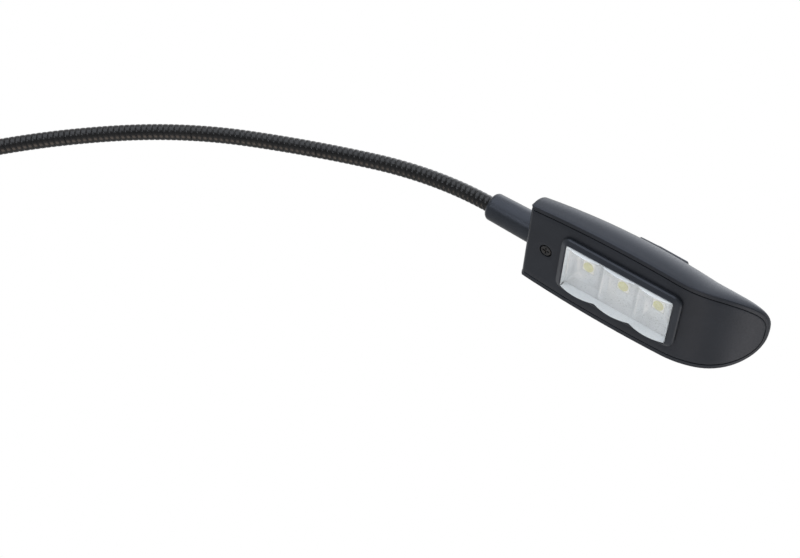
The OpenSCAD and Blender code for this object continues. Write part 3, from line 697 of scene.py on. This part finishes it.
# %% Push button
BUTTON_PROUD = 1.0
BUTTON_DEEP = 3.0
BUTTON_ROUND, BUTTON_ROUND_STEPS = 0.4, 3
PATCH_START, PATCH_ROWS, ROWS_ON_BUTTON = -0.6, 11, 8
bm = bmesh.new()
pull(bm, [section(BUTTON_X + BUTTON_L * (k / ROWS_ON_BUTTON + PATCH_START), -BUTTON_PROUD)
          for k in range(PATCH_ROWS)])
cut_square(bm, BUTTON_X, BUTTON_L / 2, BUTTON_W / 2)
spare = [f for f in bm.faces if not inside_square(f, BUTTON_X, BUTTON_L / 2, BUTTON_W / 2)
         or f.calc_center_median().z < TOP_FROM]
bmesh.ops.delete(bm, geom=spare, context="FACES")
bmesh.ops.translate(bm, verts=thicken(bm), vec=(0, 0, -BUTTON_DEEP))
bmesh.ops.recalc_face_normals(bm, faces=bm.faces)
round_edges(bm, sharp_edges(bm), BUTTON_ROUND, BUTTON_ROUND_STEPS)
piece(bm, "push_button", smooth_abs, ["switch_button"], "switch_button", IN_HEAD)

# %% [markdown]
# ## Underside plate
#
# The plate is flat under the LEDs and sweeps up to the front. It is one sheet, pulled from the rear
# to the front. The opening for the lens and a square round the screw are cut out of it, the square
# gets a round hole, and the sheet is then given its thickness. The hole is closed above, and the
# counterbore rises into it from below up to a floor of its own.

# %% Underside plate
PLATE_GAP = 0.35
RIM_IN = WALL + PLATE_GAP
PLATE_REAR, REAR_STEPS = 0.2, 6
PLATE_TURN = 84
PLATE_ROUND = 0.2
ACROSS = 12
WINDOW_X, WINDOW_L, WINDOW_W = 40.9, 45.2, 20.2
UNDER_BEZEL_L, UNDER_BEZEL_W = 2.4, 2.2
OPENING_L, OPENING_W = WINDOW_L + UNDER_BEZEL_L, WINDOW_W + UNDER_BEZEL_W
SCREW_X = 9.2
SCREW_FIELD, FIELD_INSET, FIELD_CUTS = 3.6, 0.3, 3
BORE_STEPS = ((2.85, 0.0), (2.67, 0.07), (2.6, 0.25), (2.6, 1.3))
BORE_R = BORE_STEPS[0][0]


def screw_distance(vert):
    return sqrt((vert.co.x - SCREW_X) ** 2 + vert.co.y ** 2)


def plate_low(x):
    """Underside of the plate, which turns up in a small arc at the rear."""
    return underside(x) + rear_bend(x - PLATE_REAR)


def plate_line(x):
    """Line across the plate."""
    half = half_width(x, RIM_IN)
    return [Vector((x, half * (2 * k / ACROSS - 1), plate_low(x))) for k in range(ACROSS + 1)]


bm = bmesh.new()
rear = [PLATE_REAR + REAR_BEND * (1 - sin(radians(90 - 90 / REAR_STEPS * k)))
        for k in range(REAR_STEPS)]
rear[0] = PLATE_REAR + ON
plate_xs = rear + stations(PLATE_REAR + REAR_BEND, RIM_IN, PLATE_TURN)
pull(bm, [plate_line(x) for x in plate_xs])
fields = ((WINDOW_X, OPENING_L / 2, OPENING_W / 2), (SCREW_X, SCREW_FIELD, SCREW_FIELD))
for middle, half_l, half_w in fields:
    cut_square(bm, middle, half_l, half_w)
    patch = [f for f in bm.faces if inside_square(f, middle, half_l, half_w)]
    field = bmesh.ops.dissolve_faces(bm, faces=patch)["region"][0]
    if middle == SCREW_X:
        bmesh.ops.bisect_edges(bm, edges=field.edges[:], cuts=FIELD_CUTS)
        bmesh.ops.inset_individual(bm, faces=[field], thickness=FIELD_INSET, use_even_offset=True)
        for v in field.verts:
            out = Vector((v.co.x - SCREW_X, v.co.y, 0)).normalized()
            v.co = Vector((SCREW_X, 0, 0)) + out * BORE_R
    bmesh.ops.delete(bm, geom=[field], context="FACES_ONLY")
for v in thicken(bm):
    v.co.z += PLATE_T + underside(v.co.x) - plate_low(v.co.x)
hole_wall = [f for f in bm.faces if all(screw_distance(v) < BORE_R + ON for v in f.verts)]
bmesh.ops.delete(bm, geom=hole_wall, context="FACES_ONLY")
mouths = [e for e in bm.edges if e.is_boundary]
bmesh.ops.contextual_create(bm, geom=[e for e in mouths if e.verts[0].co.z > PLATE_T / 2])
rim = [e for e in mouths if e.verts[0].co.z < PLATE_T / 2]
for (r_from, z_from), (r_to, z_to) in zip(BORE_STEPS, BORE_STEPS[1:]):
    fresh, rim = grow(bm, rim)
    bmesh.ops.scale(bm, verts=fresh, vec=(r_to / r_from, r_to / r_from, 1),
                    space=Matrix.Translation((-SCREW_X, 0, 0)))
    bmesh.ops.translate(bm, verts=fresh, vec=(0, 0, z_to - z_from))
bmesh.ops.contextual_create(bm, geom=rim)
bmesh.ops.recalc_face_normals(bm, faces=bm.faces)
plate_rim = [e for e in sharp_edges(bm) if on_rim(e, RIM_IN, plate_low)]
round_edges(bm, plate_rim, PLATE_ROUND, FINE_STEPS)
piece(bm, "underside_plate", black_abs, ["base_plate"], "head", IN_HEAD)

# %% [markdown]
# ## Bezel, lens and reflector
#
# The bezel is a frame with a low edge that slopes up to a narrow lip round the window. A rounded
# rectangle is inset twice, its middle is taken out, and the ring that is left gets a flat back. A
# narrow chamfer round its outer edge catches the light.
# The lens has one lobe for each LED, round along the head, with ends that are only just rounded
# and a flat back. Its steep walls take the opaque white that paints the tray's reflection. The
# reflector keeps its solid's cups.

# %% Bezel
BEZEL_L, BEZEL_W, BEZEL_H, BEZEL_R = 50.6, 24.6, 2.3, 3.5
BEZEL_EDGE = 1.2
BEZEL_LIP, LIP_ROUND = 0.5, 0.3
BEZEL_CHAMFER = 0.4
BEZEL_SIDE, BEZEL_END = (BEZEL_W - WINDOW_W) / 2, (BEZEL_L - WINDOW_L) / 2
CORNER_STEPS = 8


def rounded_face(bm, length, width, radius, middle):
    """Rectangle with rounded corners, as one face."""
    place = Matrix.Translation(middle) @ Matrix.Diagonal((length, width, 1, 1))
    corners = bmesh.ops.create_grid(bm, x_segments=1, y_segments=1, size=0.5, matrix=place)["verts"]
    made = bmesh.ops.bevel(bm, geom=corners, offset=radius, offset_type="OFFSET", affect="VERTICES",
                           segments=CORNER_STEPS, profile=0.5, material=-1, clamp_overlap=False)
    return made["verts"][0].link_faces[0]


def inset_face(bm, face, by):
    bmesh.ops.inset_individual(bm, faces=[face], thickness=by, use_even_offset=True)


bm = bmesh.new()
opening = rounded_face(bm, BEZEL_L, BEZEL_W, BEZEL_R, (WINDOW_X, 0, -BEZEL_EDGE))
inset_face(bm, opening, BEZEL_SIDE - BEZEL_LIP)
for v in opening.verts:
    v.co.x += (BEZEL_END - BEZEL_SIDE) * (1 if v.co.x < WINDOW_X else -1)
    v.co.z = -BEZEL_H
inset_face(bm, opening, BEZEL_LIP)
lip = opening.edges[:]
bmesh.ops.delete(bm, geom=[opening], context="FACES_ONLY")
for v in thicken(bm):
    v.co.z = 0
bmesh.ops.recalc_face_normals(bm, faces=bm.faces)
brow = [e for e in bm.edges if all(abs(v.co.z + BEZEL_EDGE) < ON for v in e.verts)]
round_edges(bm, brow, BEZEL_CHAMFER, 1)
round_edges(bm, lip, LIP_ROUND, FINE_STEPS)
piece(bm, "window_bezel", satin_abs, ["bezel"], "head", IN_HEAD, sharp=24)

# %% Lens
LOBES = 3
LOBE_H = 1.5
LENS_GAP = 0.4
LENS_L, LENS_W = WINDOW_L - LENS_GAP, WINDOW_W - LENS_GAP
LOBE_PITCH = LENS_L / LOBES
LOBE_R = ((LOBE_PITCH / 2) ** 2 + LOBE_H ** 2) / (2 * LOBE_H)
LENS_BACK = 0.6
END_ROUND, END_STEPS = 0.12, 6
LOBE_STEPS = 16
STEEP = 0.3


def lobe(x):
    """How far the lens bulges at a distance from its middle."""
    across = (x / LOBE_PITCH + LOBES / 2) % 1 - 0.5
    return LOBE_H - LOBE_R + sqrt(LOBE_R ** 2 - (across * LOBE_PITCH) ** 2)


ends = [1 - cos(pi / 2 * k / END_STEPS) for k in range(END_STEPS + 1)]
near = [(-LENS_W / 2 + END_ROUND * s, sqrt(1 - (1 - s) ** 2)) for s in ends]
crossing = near + [(-y, fall) for y, fall in reversed(near)]
bm = bmesh.new()
rows = []
for k in range(LOBES * LOBE_STEPS + 1):
    x = LENS_L * (k / (LOBES * LOBE_STEPS) - 0.5)
    bulge = lobe(x) if k % LOBE_STEPS else 0.0
    rows.append([Vector((WINDOW_X + x, y, -BEZEL_H - bulge * fall)) for y, fall in crossing])
pull(bm, rows)
for v in thicken(bm):
    v.co.z = LENS_BACK
bmesh.ops.recalc_face_normals(bm, faces=bm.faces)
# The steep walls get the second material, the white that paints the tray's reflection.
for f in bm.faces:
    f.material_index = int(abs(f.normal.z) < STEEP)
lens = piece(bm, "lobed_lens", clear_acrylic, ["lens"], "head", IN_HEAD, sharp=30)
lens.data.materials.append(lens_wall_reflection_paint)

# %% [markdown]
# ## Pieces that keep their solid's shape
#
# The other pieces have the right shape already, but machined and moulded edges are never
# perfectly sharp. A copy of the solid's mesh is welded, its flat faces are joined, and its sharp
# edges are rounded, so each edge catches a line of light. Each row gives the solid, the radius of
# its edges in millimetres, its finish and its slot.

# %% Softened pieces
BODIES = frame["record"]["behaviour"]["bodies"]
FLAT_WITHIN = 0.5
SOFT_ANGLE = 35
SOFT = (
    ("clip_housing", 0.15, black_abs, "black_abs"),
    ("battery_door", 0.12, black_abs, "black_abs"),
    ("clip_lever", 0.5, black_abs, "black_abs"),
    ("fixed_jaw_pad", 0.4, grip_rubber, "grip_rubber"),
    ("lever_jaw_pad", 0.4, grip_rubber, "grip_rubber"),
    ("hinge_pin", 0.3, bright_steel, "bright_steel"),
    ("root_ferrule", 0.4, smooth_abs, "black_coated_steel"),
    ("root_nut", 0.2, bright_steel, "bright_steel"),
    ("collar_nut", 0.2, bright_steel, "bright_steel"),
    ("plate_screw", 0.15, black_oxide, "black_oxide_screw"),
    ("reflector", 0.0, metallised, "metallised_plastic"),
    ("led_board", 0.1, solder_mask, "circuit_board"),
    ("leds", 0.15, led_package, "led_package"),
    ("led_phosphors", 0.05, phosphor, "led_phosphor"),
    ("battery_cells", 0.5, cell_can, "cell_can"),
)
for node, radius, material, slot in SOFT:
    bm = bmesh.new()
    bm.from_mesh(frame["nodes"][node].data)
    weld(bm, SAME_POINT * MM)
    bmesh.ops.dissolve_limit(bm, angle_limit=radians(FLAT_WITHIN), verts=bm.verts, edges=bm.edges)
    if radius:
        round_edges(bm, sharp_edges(bm, SOFT_ANGLE), radius * MM, FINE_STEPS)
    body = next(body for body, members in BODIES.items() if node in members)
    piece(bm, "soft_" + node, material, [node], body, Matrix.Identity(4))

# %% [markdown]
# ## Collar
#
# The collar is a moulded sleeve, slightly wider at the head, with a well rounded mouth. Its outline
# is spun about its axis. It runs on a little into the head's rounded rear edge, so no gap shows.

# %% Collar
COLLAR_R1, COLLAR_R2 = 5.45, 5.8
BORE_GAP, BORE_SEAM = 0.1, 2.0
COLLAR_BORE = NECK_R + BORE_GAP
MOUTH_R, MOUTH_STEPS = 1.8, 6
INTO_HEAD = 1.7
COLLAR_STEPS = 64
bm = bmesh.new()
mouth = [radians(90 / MOUTH_STEPS * k - 90) for k in range(MOUTH_STEPS + 1)]
far_end = COLLAR_LEN + INTO_HEAD
outline = [(COLLAR_BORE, BORE_SEAM), (COLLAR_BORE, 0.0)]
outline += [(COLLAR_R1 - MOUTH_R + MOUTH_R * cos(a), MOUTH_R + MOUTH_R * sin(a)) for a in mouth]
outline += [(COLLAR_R2, far_end), (COLLAR_BORE, far_end), (COLLAR_BORE, BORE_SEAM)]
points = [bm.verts.new((r, 0, z)) for r, z in outline]
edges = [bm.edges.new(pair) for pair in zip(points, points[1:])]
bmesh.ops.spin(bm, geom=points + edges, cent=(0, 0, 0), axis=(0, 0, 1), angle=2 * pi,
               steps=COLLAR_STEPS, use_merge=True)
weld(bm)
bmesh.ops.recalc_face_normals(bm, faces=bm.faces)
along_head = Matrix.Translation((-COLLAR_LEN, 0, COLLAR_Z)) @ Matrix.Rotation(pi / 2, 4, "Y")
piece(bm, "neck_collar", satin_abs, ["head_collar"], "head",
      IN_HEAD @ along_head)

# %% [markdown]
# ## Torsion spring
#
# The spring is one wire: a leg along the handle, a little over four and a half turns round the pin
# and a leg to the box. A circle is spun about the pin while it moves along it, and both ends are
# then pulled out as legs.

# %% Torsion spring
PIVOT = Vector((7.3, 0, 22.0))
WIRE_R, WIRE_SIDES = 0.6, 10
SPRING_R = 3.2
HANDLE_LEAN, BOX_LEAN = 23, 40
WHOLE_TURNS, TURN_PITCH = 4, 1.9
SPRING_START = 180 - HANDLE_LEAN
SPRING_TURN = WHOLE_TURNS * 360 + BOX_LEAN + 360 - SPRING_START
SPRING_W = TURN_PITCH * SPRING_TURN / 360
HANDLE_LEG, BOX_LEG = 20.0, 15.0
COIL_STEPS = 130

bm = bmesh.new()
start = radians(SPRING_START)
out = Vector((cos(start), 0, sin(start)))
back = Vector((sin(radians(HANDLE_LEAN)), 0, cos(radians(HANDLE_LEAN))))
disc = Matrix((out, Vector((0, 1, 0)), back)).transposed().to_4x4()
disc.translation = out * SPRING_R + Vector((0, SPRING_W / 2, 0))
ring = bmesh.ops.create_circle(bm, segments=WIRE_SIDES, radius=WIRE_R, matrix=disc)["verts"]
loop = list({e for v in ring for e in v.link_edges})
last = bmesh.ops.spin(bm, geom=ring + loop, cent=(0, 0, 0), axis=(0, -1, 0),
                      angle=radians(SPRING_TURN), dvec=(0, -SPRING_W / COIL_STEPS, 0),
                      steps=COIL_STEPS, use_merge=False)["geom_last"]
away = Vector((-sin(radians(BOX_LEAN)), 0, cos(radians(BOX_LEAN))))
for end, move in ((loop, back * HANDLE_LEG), (edges_of(last), away * BOX_LEG)):
    fresh, rim = grow(bm, end)
    bmesh.ops.translate(bm, verts=fresh, vec=move)
    bmesh.ops.contextual_create(bm, geom=rim)
bmesh.ops.recalc_face_normals(bm, faces=bm.faces)
bmesh.ops.translate(bm, verts=bm.verts, vec=PIVOT)
spring = piece(bm, "lever_spring", bright_steel, ["torsion_spring"])
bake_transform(spring)

# %% [markdown]
# ## Pieces inside
#
# The contacts, the parts on the board and the lead in the head hardly show, so they stay as solids
# and only get their finish.

# %% Finishes of the pieces inside
INSIDE = {
    "contact_leaves": bright_steel, "contact_plates": bright_steel, "driver_parts": black_epoxy,
    "tact_switch": black_epoxy, "switch_plunger": black_epoxy, "head_lead": pvc_sheath,
}
for node, material in INSIDE.items():
    frame["nodes"][node].data.materials.clear()
    frame["nodes"][node].data.materials.append(material)
print("finished inside:", ", ".join(INSIDE))
